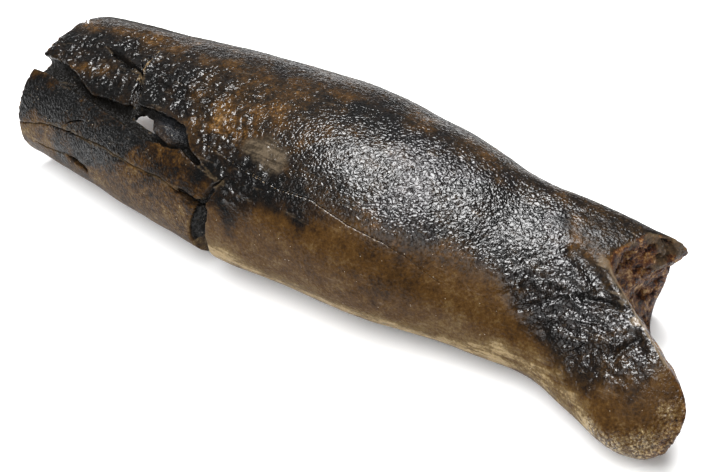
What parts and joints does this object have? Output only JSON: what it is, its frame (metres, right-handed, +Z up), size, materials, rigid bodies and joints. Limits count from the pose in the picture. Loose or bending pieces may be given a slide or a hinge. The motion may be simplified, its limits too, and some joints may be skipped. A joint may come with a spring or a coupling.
{
  "type": "fossil metatarsal",
  "caption": "Joint-end half of a fossil theropod foot bone: a worn, pebbled shaft, split along its length, with one flared lobe left at the joint.",
  "frame": {"origin": "middle of the bone's outline, at the level of the surface it lies on", "axes": "+X along the bone from the broken shaft to the joint end, -Y the side that faces the picture, +Z up from the flat side it lies on"},
  "size_m": [0.2642, 0.084, 0.0561],
  "materials": {
    "fossil_bone": null
  },
  "bodies": {
    "root": {"metatarsal": "fossil_bone"}
  },
  "joints": []
}
